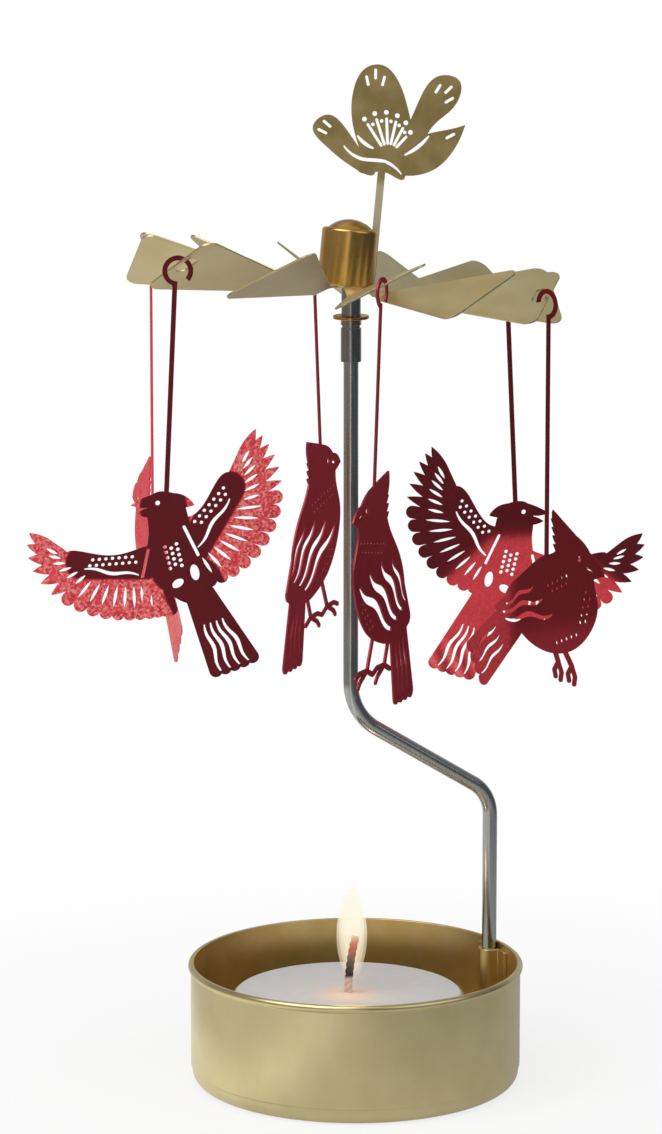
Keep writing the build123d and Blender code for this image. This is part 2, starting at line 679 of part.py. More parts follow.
def tealight_cup():
    """Thin aluminium cup of a standard tealight."""
    radius = tealight_diameter / 2
    shell = tealight_disc(radius, 0, tealight_rim)
    return shell - tealight_disc(radius - tealight_wall, tealight_wall, tealight_rim)


def wick_sustainer(clearance=0.0):
    """Tin foot that holds the wick on the floor of the tealight."""
    foot = tealight_disc(sustainer_diameter / 2 + clearance, tealight_wall, sustainer_thickness + clearance)
    neck_height = sustainer_neck_height + clearance
    foot += tealight_disc(sustainer_neck_diameter / 2 + clearance, tealight_wall, neck_height)
    return foot - tealight_disc(wick_diameter / 2 + press_clearance, tealight_wall, neck_height)


def wick_bore():
    """Round way for the wick through the wax and its foot."""
    return tealight_disc(wick_diameter / 2 + press_clearance, tealight_wall, wax_height)


def wax():
    """Disc of wax that fills the tealight and stands just proud of its rim."""
    radius = tealight_diameter / 2 - tealight_wall - press_clearance
    disc = tealight_disc(radius, tealight_wall, wax_height)
    return disc - wick_sustainer(press_clearance) - wick_bore()


def wick():
    """Cotton wick, upright in the wax and curling over above it."""
    start = Vector(tealight_x, 0, cup_floor + tealight_wall)
    bend = start + Vector(0, 0, wax_height + wick_height - wick_bend_radius * sin(radians(wick_bend_angle)))
    rise = Line(start, bend)
    curl = RadiusArc(
        bend,
        bend + Vector(
            wick_bend_radius * (1 - cos(radians(wick_bend_angle))), 0,
            wick_bend_radius * sin(radians(wick_bend_angle))),
        wick_bend_radius)
    return sweep(Plane(start, z_dir=(0, 0, 1)) * Circle(wick_diameter / 2), Wire([rise, curl]))


def export(name, shape):
    """Write one piece and print its volume."""
    export_step(shape, f"parts/{name}.step")
    print(f"{name}: {shape.volume:.1f} mm3")


def main():
    os.makedirs("parts", exist_ok=True)
    pieces = (
        cup, stem_socket, stem_rod, ferrule, needle, washer,
        pivot_cap, propeller, flower, tealight_cup, wax, wick, wick_sustainer)
    for piece in pieces:
        export(piece.__name__, piece())
    drawings = {"flying": flying_bird, "perched": perched_bird, "hopping": hopping_bird}
    flats = {name: hung_flat(drawing()) for name, drawing in drawings.items()}
    for name, hook in hooks.items():
        plane = ring_plane(hook)
        export(name, extrude(plane * flats[hook.bird], sheet / 2, both=True))
        print(name, "swings about", plane.origin, "along", plane.z_dir)


main()
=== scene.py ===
# %% [markdown]
# # A rotary tealight holder, dressed
# The holder is a brass cup with a bent steel stem. A propeller stands on the stem's needle and turns in the
# warm air of the flame, and six red birds of sheet metal hang from its blades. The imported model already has
# every piece at its real place and size, so this lesson leaves those solids alone and works on what they
# lack: soft edges, real finishes, the wax, the wick, the flame, and a studio to see them in.

# %% Load the frame
import json
import math

import bmesh
import bpy
from mathutils import Matrix, Vector

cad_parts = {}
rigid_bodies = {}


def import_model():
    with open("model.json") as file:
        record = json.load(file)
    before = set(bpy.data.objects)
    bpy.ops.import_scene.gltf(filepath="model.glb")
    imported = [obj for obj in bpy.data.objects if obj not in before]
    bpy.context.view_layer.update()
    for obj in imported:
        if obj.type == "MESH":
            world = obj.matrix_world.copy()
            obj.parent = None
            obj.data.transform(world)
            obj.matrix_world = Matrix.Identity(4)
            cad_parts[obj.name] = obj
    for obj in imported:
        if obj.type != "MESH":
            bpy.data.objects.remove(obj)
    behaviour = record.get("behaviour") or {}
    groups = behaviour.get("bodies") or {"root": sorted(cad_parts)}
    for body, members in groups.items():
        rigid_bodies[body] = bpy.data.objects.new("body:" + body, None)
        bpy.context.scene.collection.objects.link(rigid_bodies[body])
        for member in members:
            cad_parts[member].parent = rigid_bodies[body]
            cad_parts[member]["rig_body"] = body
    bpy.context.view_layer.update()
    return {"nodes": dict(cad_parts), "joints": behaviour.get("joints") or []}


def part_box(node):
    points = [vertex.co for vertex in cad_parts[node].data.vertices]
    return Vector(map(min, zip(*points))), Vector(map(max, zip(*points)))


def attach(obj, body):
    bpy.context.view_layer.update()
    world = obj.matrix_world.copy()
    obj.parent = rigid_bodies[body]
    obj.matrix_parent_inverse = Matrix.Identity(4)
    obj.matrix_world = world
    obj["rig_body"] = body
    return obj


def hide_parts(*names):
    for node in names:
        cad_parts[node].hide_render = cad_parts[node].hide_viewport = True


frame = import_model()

mm = 0.001
joints = {joint["name"]: joint for joint in frame["joints"]}
scene = bpy.context.scene

# %% [markdown]
# ## The camera
# The photograph was taken from a little above the propeller, with a long lens. A long lens far away keeps the
# cup's rim and the propeller in the right proportion to each other, which a short lens close by would not.
# The camera stands a few millimetres left of the cup's middle, because the picture is centred on the birds.

# %% Camera
camera_distance = 0.740
camera_height = 0.22585
camera_left = 0.0040
camera_dip = math.radians(10.741)
lens_mm = 148.3
sensor_mm = 36.0

camera_data = bpy.data.cameras.new("camera")
camera_data.sensor_fit = "VERTICAL"
camera_data.sensor_height = sensor_mm
camera_data.lens = lens_mm
camera = bpy.data.objects.new("camera", camera_data)
scene.collection.objects.link(camera)
camera.location = (-camera_left, -camera_distance, camera_height)
camera.rotation_euler = (math.pi / 2 - camera_dip, 0, 0)
scene.camera = camera
scene.view_settings.view_transform = "Standard"
print("camera at", [round(x, 4) for x in camera.location])

# %% [markdown]
# ## Writing shaders as sums
# A finish such as "darker where it is scratched" is arithmetic on numbers that change over the surface.
# Linking Math nodes by hand hides that arithmetic, so a small class wraps a socket: adding or multiplying two
# of them adds the node.

# %% Numbers over a surface
class Number:
    """A value that changes over a surface. Python arithmetic on it adds Math nodes."""

    def __init__(self, finish, socket):
        self.finish = finish
        self.socket = socket

    def other(self, output):
        """Another output of the node that this value comes from."""
        return Number(self.finish, self.socket.node.outputs[output])

    def math(self, operation, *values):
        return self.finish.node("ShaderNodeMath", {"operation": operation}, dict(enumerate(values)))

    def __add__(self, other):
        return self.math("ADD", self, other)

    def __radd__(self, other):
        return self.math("ADD", other, self)

    def __sub__(self, other):
        return self.math("SUBTRACT", self, other)

    def __rsub__(self, other):
        return self.math("SUBTRACT", other, self)

    def __mul__(self, other):
        return self.math("MULTIPLY", self, other)

    def __rmul__(self, other):
        return self.math("MULTIPLY", other, self)

    def __truediv__(self, other):
        return self.math("DIVIDE", self, other)

    def __rtruediv__(self, other):
        return self.math("DIVIDE", other, self)

    def __pow__(self, power):
        return self.math("POWER", self, power)

    def smaller(self, other):
        return self.math("MINIMUM", self, other)

    def larger(self, other):
        return self.math("MAXIMUM", self, other)

    def size(self):
        return self.math("ABSOLUTE", self)

    def wave(self):
        return self.math("SINE", self)

    def rise(self, low, high):
        """0 below low, 1 above high and a smooth step between them. With low over high, it falls."""
        step = self.finish.node("ShaderNodeMapRange", {"interpolation_type": "SMOOTHSTEP"}, {
            "Value": self, "From Min": min(low, high), "From Max": max(low, high)})
        return 1 - step if low > high else step


print("numbers over a surface are ready")

# %% [markdown]
# A second class holds the shader that is being made. Its one method `node` makes any other node: settings
# first, then the values or links of its sockets. The rest are short names for what every finish needs, in
# millimetres, because a grain of 0.16 mm is easier to picture than a texture scale of 6250.

# %% A finish in the making
class Finish:
    """The main shader of a material or of the world, and the places on its piece in millimetres."""

    def __init__(self, owner):
        owner.use_nodes = True
        self.owner = owner
        self.tree = owner.node_tree
        main_shader = "Background" if isinstance(owner, bpy.types.World) else "Principled BSDF"
        self.shader = self.tree.nodes[main_shader]
        self.places = None

    def node(self, kind, settings=None, sockets=None, output=0):
        """Any node: settings first, then the values or links of its sockets, by name or number."""
        made = self.tree.nodes.new(kind)
        for name, value in (settings or {}).items():
            if name == "stops":
                self.set_stops(made.color_ramp, value)
            else:
                setattr(made, name, value)
        for key, value in (sockets or {}).items():
            self.feed(made.inputs[key], value)
        return Number(self, made.outputs[output])

    def vector(self, operation, sockets, output="Vector"):
        """A Vector Math node."""
        return self.node("ShaderNodeVectorMath", {"operation": operation}, sockets, output)

    def set_stops(self, ramp, stops):
        while len(ramp.elements) < len(stops):
            ramp.elements.new(0.5)
        for element, (position, colour) in zip(ramp.elements, stops):
            element.position = position
            element.color = (*colour, 1)

    def feed(self, socket, value):
        """Link a value to a socket, or set a constant on it."""
        if isinstance(value, Number):
            self.tree.links.new(value.socket, socket)
        elif isinstance(value, tuple) and len(value) == 3 and socket.type == "RGBA":
            socket.default_value = (*value, 1)
        else:
            socket.default_value = value

    def set(self, **sockets):
        """Values or links of the shader's own sockets: Base_Color stands for Base Color."""
        for name, value in sockets.items():
            self.feed(self.shader.inputs[name.replace("_", " ")], value)

    def place(self):
        """Object coordinates as a vector in millimetres."""
        if self.places is None:
            coordinates = self.node("ShaderNodeTexCoord", output="Object")
            self.places = self.vector("SCALE", {0: coordinates, "Scale": 1 / mm})
        return self.places

    def along(self, direction, start=(0, 0, 0)):
        """How far a point lies along a direction from a start, in millimetres."""
        moved = self.vector("SUBTRACT", {0: self.place(), 1: tuple(start)})
        return self.vector("DOT_PRODUCT", {0: moved, 1: tuple(direction)}, "Value")

    def radius(self, x=0.0, y=0.0):
        """Distance from an upright axis, in millimetres."""
        flat = self.vector("MULTIPLY_ADD", {0: self.place(), 1: (1, 1, 0), 2: (-x, -y, 0)})
        return self.vector("LENGTH", {0: flat}, "Value")

    def noise(self, grain, stretch=(1, 1, 1), detail=3.0, roughness=0.5):
        """Soft noise whose grain is a size in millimetres, stretched along the axes."""
        spread = tuple(1 / (grain * s) for s in stretch)
        scaled = self.vector("MULTIPLY", {0: self.place(), 1: spread})
        return self.node("ShaderNodeTexNoise", None, {
            "Vector": scaled, "Scale": 1.0, "Detail": detail, "Roughness": roughness})

    def cells(self, size):
        """Small cells of a size in millimetres, each with its own random brightness."""
        scaled = self.vector("SCALE", {0: self.place(), "Scale": 1 / size})
        colour = self.node("ShaderNodeTexVoronoi", None, {"Vector": scaled, "Scale": 1.0}, "Color")
        return self.node("ShaderNodeRGBToBW", None, {0: colour})

    def mix(self, share, first, second):
        """The first colour where share is 0 and the second where it is 1."""
        return self.node("ShaderNodeMix", {"data_type": "RGBA"}, {0: share, 6: first, 7: second}, 2)

    def bump(self, height, depth):
        """A normal that follows a height, whose full range is a depth in millimetres."""
        return self.node("ShaderNodeBump", None, {"Height": height, "Strength": 1.0, "Distance": depth * mm})


def new_finish(name):
    """A finish on a new material."""
    return Finish(bpy.data.materials.new(name))


def grey(level):
    """A neutral colour."""
    return (level, level, level)


def srgb(red, green, blue):
    """A colour as it looks on a screen, from 0 to 255, turned into the light that a shader works with."""
    def channel(value):
        share = value / 255
        return share / 12.92 if share <= 0.04045 else ((share + 0.055) / 1.055) ** 2.4
    return channel(red), channel(green), channel(blue)


print("middle grey on a screen is", round(srgb(128, 128, 128)[0], 3), "in a shader")

# %% [markdown]
# ## The studio
# The object stands on a white table in front of white paper. Shiny metal shows what is around it, so the
# studio matters as much as the metal: the dim room behind the camera puts the dark streaks on the rod and the
# cap, while the cup is bright because it mirrors the table. A world shader can do this with no extra
# objects: rays from the camera see white, and rays from shiny metal see white paper behind and above, a warm
# dim wall on the left, a cool dark one on the right and one narrow window between them. A direction in the
# world has three parts from -1 to 1, across, ahead and upward, and the walls are steps in them.

# %% World
paper_white = 1.0
back_paper = 0.52
ceiling = 0.17
ambient = 0.42
warm_wall = (0.29, 0.268, 0.24)
cool_wall = (0.085, 0.095, 0.11)
window_white = (1.0, 0.98, 0.94)
window_light = 0.85
window_left = 0.10
window_core, window_edge = 0.06, 0.17
window_starts, window_full = 0.0, -0.2
room_full_ahead, room_ends_ahead = 0.45, 0.75
room_full_up, room_ends_up = 0.30, 0.62
warm_ends, cool_starts = -0.12, 0.10
ceiling_starts, ceiling_full = 0.2, 0.7

sky = Finish(bpy.data.worlds.new("studio"))
scene.world = sky.owner
direction = sky.node("ShaderNodeTexCoord", output="Generated")
across = sky.node("ShaderNodeSeparateXYZ", None, {0: direction}, "X")
ahead = across.other("Y")
upward = across.other("Z")
room = ahead.rise(room_ends_ahead, room_full_ahead) * upward.rise(room_ends_up, room_full_up)
walls = sky.mix(across.rise(warm_ends, cool_starts), warm_wall, cool_wall)
window = (across + window_left).size().rise(window_edge, window_core)
window = window * ahead.rise(window_starts, window_full) * window_light
walls = sky.mix(window, walls, window_white)
above = sky.mix(upward.rise(ceiling_starts, ceiling_full), grey(back_paper), grey(ceiling))
seen_by_metal = sky.mix(room, above, walls)
is_glossy = sky.node("ShaderNodeLightPath", output="Is Glossy Ray")
is_seen = is_glossy.other("Is Camera Ray").larger(is_glossy.other("Is Transmission Ray"))
colour = sky.mix(is_glossy, grey(ambient), seen_by_metal)
sky.set(Color=sky.mix(is_seen, colour, grey(paper_white)))
print("world:", len(sky.tree.nodes), "nodes")

# %% [markdown]
# The table is a round white board. It fades into the white behind it for the camera, and keeps the soft
# shadow close to the object. Its edge matters to the metal: the cup mirrors the white board near it, while
# the rod and the cap stand high enough to mirror the dim room beyond. For shiny metal the board glows with a
# painted light, brighter on the side of the window, which gives the cup its pale band on the left and its
# darker right side.

# %% Floor
table_radius = 0.20
table_segments = 96


def link(name, data):
    """A new object in the scene for a finished mesh, curve or lamp."""
    made = bpy.data.objects.new(name, data)
    scene.collection.objects.link(made)
    return made


def mesh_from(bm, name, smooth_angle=None):
    """A finished mesh from a bmesh, shaded smooth up to an angle in degrees."""
    if smooth_angle is not None:
        for face in bm.faces:
            face.smooth = True
        for edge in bm.edges:
            edge.smooth = not edge.is_manifold or edge.calc_face_angle(0) < math.radians(smooth_angle)
    mesh = bpy.data.meshes.new(name)
    bm.to_mesh(mesh)
    bm.free()
    return mesh


bm = bmesh.new()
bmesh.ops.create_circle(bm, cap_ends=True, segments=table_segments, radius=table_radius)
bmesh.ops.recalc_face_normals(bm, faces=bm.faces)
floor = link("floor", mesh_from(bm, "floor"))
print("floor of", table_radius, "m")

# %% White table
near_white = 0.76
near_edge, far_edge = 40, 160
board_pale, board_dull = grey(0.92), grey(0.88)
board_shadow = (0.02, 0.03, 0.06)
shade_level = 0.42
right_shade = 0.24
right_starts, right_full = -30, 60
painted_pale_band = 0.40
band_left, band_core, band_edge = 38, 4, 24
rim_light = 0.26
rim_starts, rim_full = -80, -115

paper = new_finish("white table")
speckle = paper.noise(2.0, detail=2.0)
paper.set(Roughness=0.9, Specular_IOR_Level=0.1, Base_Color=paper.mix(speckle, board_dull, board_pale))
mirrored = paper.node("ShaderNodeLightPath", output="Is Glossy Ray")
seen = mirrored.larger(mirrored.other("Is Camera Ray"))
side = paper.along((1, 0, 0))
# Painted light, seen only by shiny metal: the board is brighter on the window side, in a band left of the cup
# and far to the left, and darker on the right.
shade = shade_level + side.rise(right_starts, right_full) * right_shade
shade = shade - (side + band_left).size().rise(band_edge, band_core) * painted_pale_band
shade = shade - side.rise(rim_starts, rim_full) * rim_light
painted_board_light = paper.mix(shade * mirrored, grey(1.0), board_shadow)
glow = paper.node("ShaderNodeEmission", None, {"Color": painted_board_light})
far = near_white + paper.radius().rise(near_edge, far_edge) * (1 - near_white)
board = Number(paper, paper.shader.outputs[0])
blend = paper.node("ShaderNodeMixShader", None, {0: far * seen, 1: board, 2: glow})
paper.feed(paper.tree.nodes["Material Output"].inputs["Surface"], blend)
floor.data.materials.append(paper.owner)
print("white table:", len(paper.tree.nodes), "nodes")

# %% [markdown]
# Three large square lamps give the soft light of a studio: a key from the upper left, a weaker fill from the
# right, and one from behind that lifts the tops of the blades. Large lamps make soft shadows, and the key
# stands high so that the polished cap doesn't mirror it.

# %% Lamps
lamp_target = Vector((0, 0, 0.085))
softboxes = (
    # name, azimuth from the front towards +X, elevation, distance in metres, size in metres, watts
    ("key", -47, 56, 0.9, 0.8, 5.0),
    ("fill", 55, 35, 1.0, 0.9, 1.9),
    ("top", 170, 70, 0.9, 0.9, 0.8),
)


def softbox(name, azimuth, elevation, distance, size, watts):
    """A square lamp that faces the object."""
    turn = math.radians(azimuth)
    lift = math.radians(elevation)
    way = Vector((math.sin(turn) * math.cos(lift), -math.cos(turn) * math.cos(lift), math.sin(lift)))
    data = bpy.data.lights.new(name, "AREA")
    data.shape = "SQUARE"
    data.size = size
    data.energy = watts
    lamp = link(name, data)
    lamp.location = lamp_target + way * distance
    lamp.rotation_euler = way.to_track_quat("Z", "Y").to_euler()


for row in softboxes:
    softbox(*row)

# %% [markdown]
# ## Edges
# A sheet that has been etched or stamped never has a perfectly sharp edge, and that thin rounded line is what
# catches the light. The CAD meshes are loose triangles with sharp edges. A copy of such a mesh can be merged
# and given a Bevel modifier, which rounds only the edges that are sharper than an angle. A Weighted Normal
# modifier after it lets the large faces decide how the light turns, so that flat sheet stays flat beside its
# rounded edge. The copy then stands for its node and rides on the same body.

# %% Copies with rounded edges
sharp_angle = 35
bevel_segments = 2
merge_gap = 0.0005 * mm
flat_angle = math.radians(0.5)


def stand_in(bm, node, width):
    """A bmesh made into the piece that stands for a CAD node, its sharp edges rounded by millimetres."""
    piece = link(node + "_dressed", mesh_from(bm, node + "_dressed", sharp_angle))
    bevel = piece.modifiers.new("rounded edges", "BEVEL")
    bevel.width = width * mm
    bevel.segments = bevel_segments
    bevel.limit_method = "ANGLE"
    bevel.angle_limit = math.radians(sharp_angle)
    weighted = piece.modifiers.new("flat faces stay flat", "WEIGHTED_NORMAL")
    weighted.keep_sharp = True
    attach(piece, frame["nodes"][node]["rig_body"])
    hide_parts(node)
    return piece


def rounded_copy(node, width):
    """A copy of a CAD node with rounded edges."""
    bm = bmesh.new()
    bm.from_mesh(frame["nodes"][node].data)
    bmesh.ops.remove_doubles(bm, verts=bm.verts, dist=merge_gap)
    bmesh.ops.dissolve_limit(
        bm, angle_limit=flat_angle, use_dissolve_boundaries=False, verts=bm.verts, edges=bm.edges)
    return stand_in(bm, node, width)


def paint(piece, finish):
    """Give a piece its one material."""
    piece.data.materials.clear()
    piece.data.materials.append(finish.owner)


print("edges over", sharp_angle, "degrees get rounded")

# %% [markdown]
# Some pieces are turned on a lathe. Their CAD meshes go round in few flats, and on polished metal every flat
# shows as a stripe. Spinning one profile in fine steps makes them truly round, as the lathe does.

# %% The lathe
spin_steps = 128
seam_gap = 0.002 * mm


def arc(middle, radius, start, end, steps=8):
    """Points of a profile on an arc between two angles in degrees, counted from outwards to up."""
    turns = [math.radians(start + (end - start) * i / steps) for i in range(steps + 1)]
    return [(middle[0] + radius * math.cos(t), middle[1] + radius * math.sin(t)) for t in turns]


def dome(radius, bottom, top, steps=14):
    """Points of a shallow dome, from its edge up to the axis."""
    rise = top - bottom
    curve = (radius ** 2 + rise ** 2) / (2 * rise)
    return arc((0, top - curve), curve, math.degrees(math.acos(radius / curve)), 90, steps)


def lathe(points, x, y, steps=spin_steps):
    """A bmesh made by spinning a profile of (radius, height) points round an upright axis."""
    bm = bmesh.new()
    corners = [bm.verts.new((x + radius, y, height)) for radius, height in points]
    edges = [bm.edges.new(pair) for pair in zip(corners, corners[1:])]
    bmesh.ops.spin(
        bm, geom=corners + edges, cent=(x, y, 0), axis=(0, 0, 1), angle=2 * math.pi, steps=steps,
        use_merge=True)
    bmesh.ops.remove_doubles(bm, verts=bm.verts, dist=seam_gap)
    bmesh.ops.recalc_face_normals(bm, faces=bm.faces)
    return bm


print("the lathe turns in", spin_steps, "steps")

# %% [markdown]
# ## Brass
# The same metal shows three finishes here. The cup is drawn from lacquered sheet: satin outside with a faint
# grain round it, and paler and more golden inside, which is a painted glow of the light that bounces in the
# cup.
# The cap and the washer are turned and polished. The propeller and the flower are satin sheet. One function
# gives the metal its shared grain, a second lets the roughness follow the wear, a third adds a cloudy
# tarnish, and each finish sets its own colours.

# %% Brass in general
grain_size = 0.16
tarnish_size = 9.0
cloud_low, cloud_high = 0.3, 0.7
grain_wear = 0.12
tarnish_wear = 0.10


def brass(name, grain_stretch, scratch_depth):
    """Bare brass with a stretched grain. Gives the finish and the grain, for its roughness."""
    finish = new_finish(name)
    grain = finish.noise(grain_size, grain_stretch, detail=2.0)
    finish.set(Metallic=1.0, Normal=finish.bump(grain, scratch_depth))
    return finish, grain


def worn(roughness, grain, tarnish):
    """A roughness that follows the grain and the tarnish."""
    return roughness + (grain - 0.5) * grain_wear + (tarnish - 0.5) * tarnish_wear


def tarnished(name, pale, deep, roughness, grain_stretch, scratch_depth):
    """Brass with clouds between two colours."""
    finish, grain = brass(name, grain_stretch, scratch_depth)
    tarnish = finish.noise(tarnish_size, detail=4.0)
    finish.set(
        Base_Color=finish.mix(tarnish.rise(cloud_low, cloud_high), deep, pale),
        Roughness=worn(roughness, grain, tarnish))
    return finish


sheet_pale, sheet_deep = srgb(218, 205, 160), srgb(206, 192, 142)
cap_pale, cap_deep = srgb(208, 168, 98), srgb(188, 145, 70)
sheet_brass = tarnished("sheet brass", sheet_pale, sheet_deep, 0.40, (1, 6, 6), 0.003)
polished_brass = tarnished("polished brass", cap_pale, cap_deep, 0.23, (60, 60, 1), 0.0004)
print("brass:", [finish.owner.name for finish in (sheet_brass, polished_brass)])

# %% [markdown]
# The cup's two sides differ: its inside carries a painted glow, and one material can tell them apart by the
# distance from the cup's axis. The flower's head is browner than its thin stem, which is paler, and there the
# height tells them apart.

# %% Brass of the cup
cup_low, cup_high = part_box("cup")
cup_radius = (cup_high.x - cup_low.x) / 2 / mm
cup_outside = srgb(222, 208, 158)
cup_outside_deep = srgb(215, 200, 148)
cup_inside_glow = srgb(238, 213, 152)
cup_inside_glow_deep = srgb(230, 201, 130)
inside_starts, inside_full = cup_radius - 0.62, cup_radius - 0.75
floor_starts, floor_full = 1.8, 2.2
cup_cloud_size = 6.0
cup_roughness = 0.29
inside_wear = 0.08
cloud_wear = 0.05

cup_brass, _ = brass("cup brass", (12, 12, 1), 0.002)
height = cup_brass.along((0, 0, 1))
inside = cup_brass.radius().rise(inside_starts, inside_full) * height.rise(floor_starts, floor_full)
clouds = cup_brass.noise(cup_cloud_size)
# Painted glow: the inside is paler and more golden than the outside, for the light that bounces in the cup.
inner_glow = cup_brass.mix(clouds.rise(cloud_low, cloud_high), cup_inside_glow, cup_inside_glow_deep)
outer = cup_brass.mix(clouds.rise(0.25, 0.75), cup_outside, cup_outside_deep)
cup_brass.set(
    Base_Color=cup_brass.mix(inside, outer, inner_glow),
    Roughness=cup_roughness + inside * inside_wear + (clouds - 0.5) * cloud_wear)
print("cup of", round(cup_radius, 2), "mm radius")

# %% Brass of the flower
flower_pale = srgb(194, 172, 118)
flower_deep = srgb(170, 149, 98)
stem_pale = srgb(226, 214, 180)
stem_top = 147.2
stem_fade = 1.0
flower_cloud_size = 4.0
flower_roughness = 0.38

flower_brass, grain = brass("flower brass", (1, 1, 6), 0.003)
tarnish = flower_brass.noise(tarnish_size, detail=4.0)
clouds = flower_brass.noise(flower_cloud_size)
head = flower_brass.mix(clouds.rise(cloud_low, cloud_high), flower_deep, flower_pale)
stem = flower_brass.along((0, 0, 1)).rise(stem_top + stem_fade, stem_top - stem_fade)
flower_brass.set(
    Base_Color=flower_brass.mix(stem, head, stem_pale),
    Roughness=worn(flower_roughness, grain, tarnish))
print("the flower's stem is bright up to", stem_top, "mm")

# %% Brass pieces
for node, finish, width in (
        ("cup", cup_brass, 0.12),
        ("stem_socket", cup_brass, 0.10),
        ("propeller", sheet_brass, 0.07),
        ("flower", flower_brass, 0.07)):
    paint(rounded_copy(node, width), finish)
    print(node, "is dressed in", finish.owner.name)

# %% [markdown]
# The cap is the bearing of the whole rotor: hollow, with its inner top resting on the needle's point. The
# flower stands on one side of the rotor and weighs it down, so the rotor leans on the needle, and the cap
# with it. The cap is spun upright first and then leaned about the needle's point.

# %% Turned brass
cap_radius = 4.5 * mm
cap_body = 9.0 * mm
cap_height = 10.5 * mm
cap_shoulder = 0.5 * mm
cap_dome = 3.6 * mm
cap_wall = 0.4 * mm
cap_foot_drop = 9.8 * mm
needle_gap = 0.1 * mm
lean_angle = math.radians(7.8)
lean_turn = math.radians(226.5)
washer_outer = 2.9 * mm
washer_inner = 1.6 * mm

pivot = Vector(joints["rotor_spin"]["pos_m"])
foot = pivot.z - cap_foot_drop
hollow = cap_radius - cap_wall
hollow_top = foot + cap_body - cap_wall
cap_profile = dome(cap_dome - cap_wall, hollow_top, pivot.z + needle_gap)[::-1]
cap_profile += [(hollow, hollow_top), (hollow, foot), (cap_radius, foot)]
cap_profile += arc((cap_radius - cap_shoulder, foot + cap_body - cap_shoulder), cap_shoulder, 0, 90)
cap_profile += dome(cap_dome, foot + cap_body, foot + cap_height)
cap_bm = lathe(cap_profile, pivot.x, pivot.y)
lean = Matrix.Rotation(lean_angle, 3, Vector((math.sin(lean_turn), -math.cos(lean_turn), 0)))
bmesh.ops.rotate(cap_bm, cent=pivot, matrix=lean, verts=cap_bm.verts)
cap_piece = stand_in(cap_bm, "pivot_cap", 0.08)
paint(cap_piece, polished_brass)

washer_low, washer_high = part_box("washer")
washer_profile = [
    (washer_inner, washer_low.z), (washer_outer, washer_low.z), (washer_outer, washer_high.z),
    (washer_inner, washer_high.z), (washer_inner, washer_low.z)]
paint(stand_in(lathe(washer_profile, pivot.x, pivot.y), "washer", 0.12), polished_brass)

# %% [markdown]
# ## Steel
# The stem is drawn wire, so its fine streaks run along it. The ferrule is a darker sleeve that is squeezed
# onto the wire, and the squeezing leaves upright streaks too. The needle is ground bright.

# %% Steel finishes
streak_size = 0.12
streak_depth = 0.002
streak_wear = 0.14
spot_size = 2.2
spot_starts, spot_full = 0.58, 0.75
spot_wear = 0.12


def steel(name, pale, deep, roughness, grain_stretch):
    """Steel with streaks along one direction and a few dull spots."""
    finish = new_finish(name)
    streaks = finish.noise(streak_size, grain_stretch)
    spots = finish.noise(spot_size, detail=5.0, roughness=0.65)
    finish.set(
        Metallic=1.0,
        Base_Color=finish.mix(streaks.rise(0.25, 0.75), deep, pale),
        Roughness=roughness + (streaks - 0.5) * streak_wear + spots.rise(spot_starts, spot_full) * spot_wear,
        Normal=finish.bump(streaks, streak_depth))
    return finish


stem_steel = steel("drawn steel", srgb(200, 201, 197), srgb(168, 169, 165), 0.22, (1, 1, 60))
ferrule_steel = steel("dark steel", srgb(180, 176, 172), srgb(138, 135, 132), 0.24, (1, 1, 40))
needle_steel = steel("ground steel", srgb(214, 214, 216), srgb(186, 186, 190), 0.18, (60, 60, 1))
print("steel:", [finish.owner.name for finish in (stem_steel, ferrule_steel, needle_steel)])

# %% Steel pieces
paint(rounded_copy("stem_rod", 0.10), stem_steel)
paint(rounded_copy("needle", 0.02), needle_steel)

ferrule_low, ferrule_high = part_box("ferrule")
ferrule_radius = (ferrule_high.x - ferrule_low.x) / 2
ferrule_steps = 64
neck_radius = 1.55 * mm
bore = 1.22 * mm
needle_bore = 0.62 * mm
groove_low = pivot.z - 16.7 * mm
groove_high = groove_low + 0.5 * mm
groove_radius = ferrule_radius - 0.2 * mm
bore_top = pivot.z - 16.2 * mm
ferrule_profile = [
    (needle_bore, bore_top), (bore, bore_top), (bore, ferrule_low.z), (ferrule_radius, ferrule_low.z),
    (ferrule_radius, groove_low), (groove_radius, groove_low), (groove_radius, groove_high),
    (ferrule_radius, groove_high), (ferrule_radius, washer_low.z), (neck_radius, washer_low.z),
    (neck_radius, ferrule_high.z), (needle_bore, ferrule_high.z), (needle_bore, bore_top)]
ferrule_bm = lathe(ferrule_profile, pivot.x, pivot.y, ferrule_steps)
paint(stand_in(ferrule_bm, "ferrule", 0.10), ferrule_steel)
print("steel pieces are dressed, ferrule of", round(ferrule_radius / mm, 2), "mm radius")

# %% [markdown]
# ## Red lacquer
# The birds are etched from thin steel and sprayed with a metallic red. Flat metal mirrors one part of the
# room at a time, so one bird looks deep maroon while the feathers of another flash bright red. That light is
# painted into the colour here, worked out in each bird's own plane: the foot of its hanger is the origin, one
# axis points outwards and the other up, and both come from the bird's hinge in the imported record. Painted
# shade runs dark through body, tail and wing roots, and the feathers beyond them get a bright painted sheen,
# stippled by glitter.

# %% Coordinates in a bird's plane
def bird_axes(finish, node, hang, turn):
    """Drawing coordinates of a bird: across and up from the foot of its hanger, in millimetres."""
    hinge = joints[node + "_swing"]
    ring = Vector(hinge["pos_m"]) / mm
    outward = Vector((0, 0, 1)).cross(Vector(hinge["axis"]))
    lean = math.radians(turn)
    right = outward * math.cos(lean) + Vector((0, 0, 1)) * math.sin(lean)
    up = Vector((0, 0, 1)) * math.cos(lean) - outward * math.sin(lean)
    foot = ring - up * hang
    return finish.along(right, foot), finish.along(up, foot)


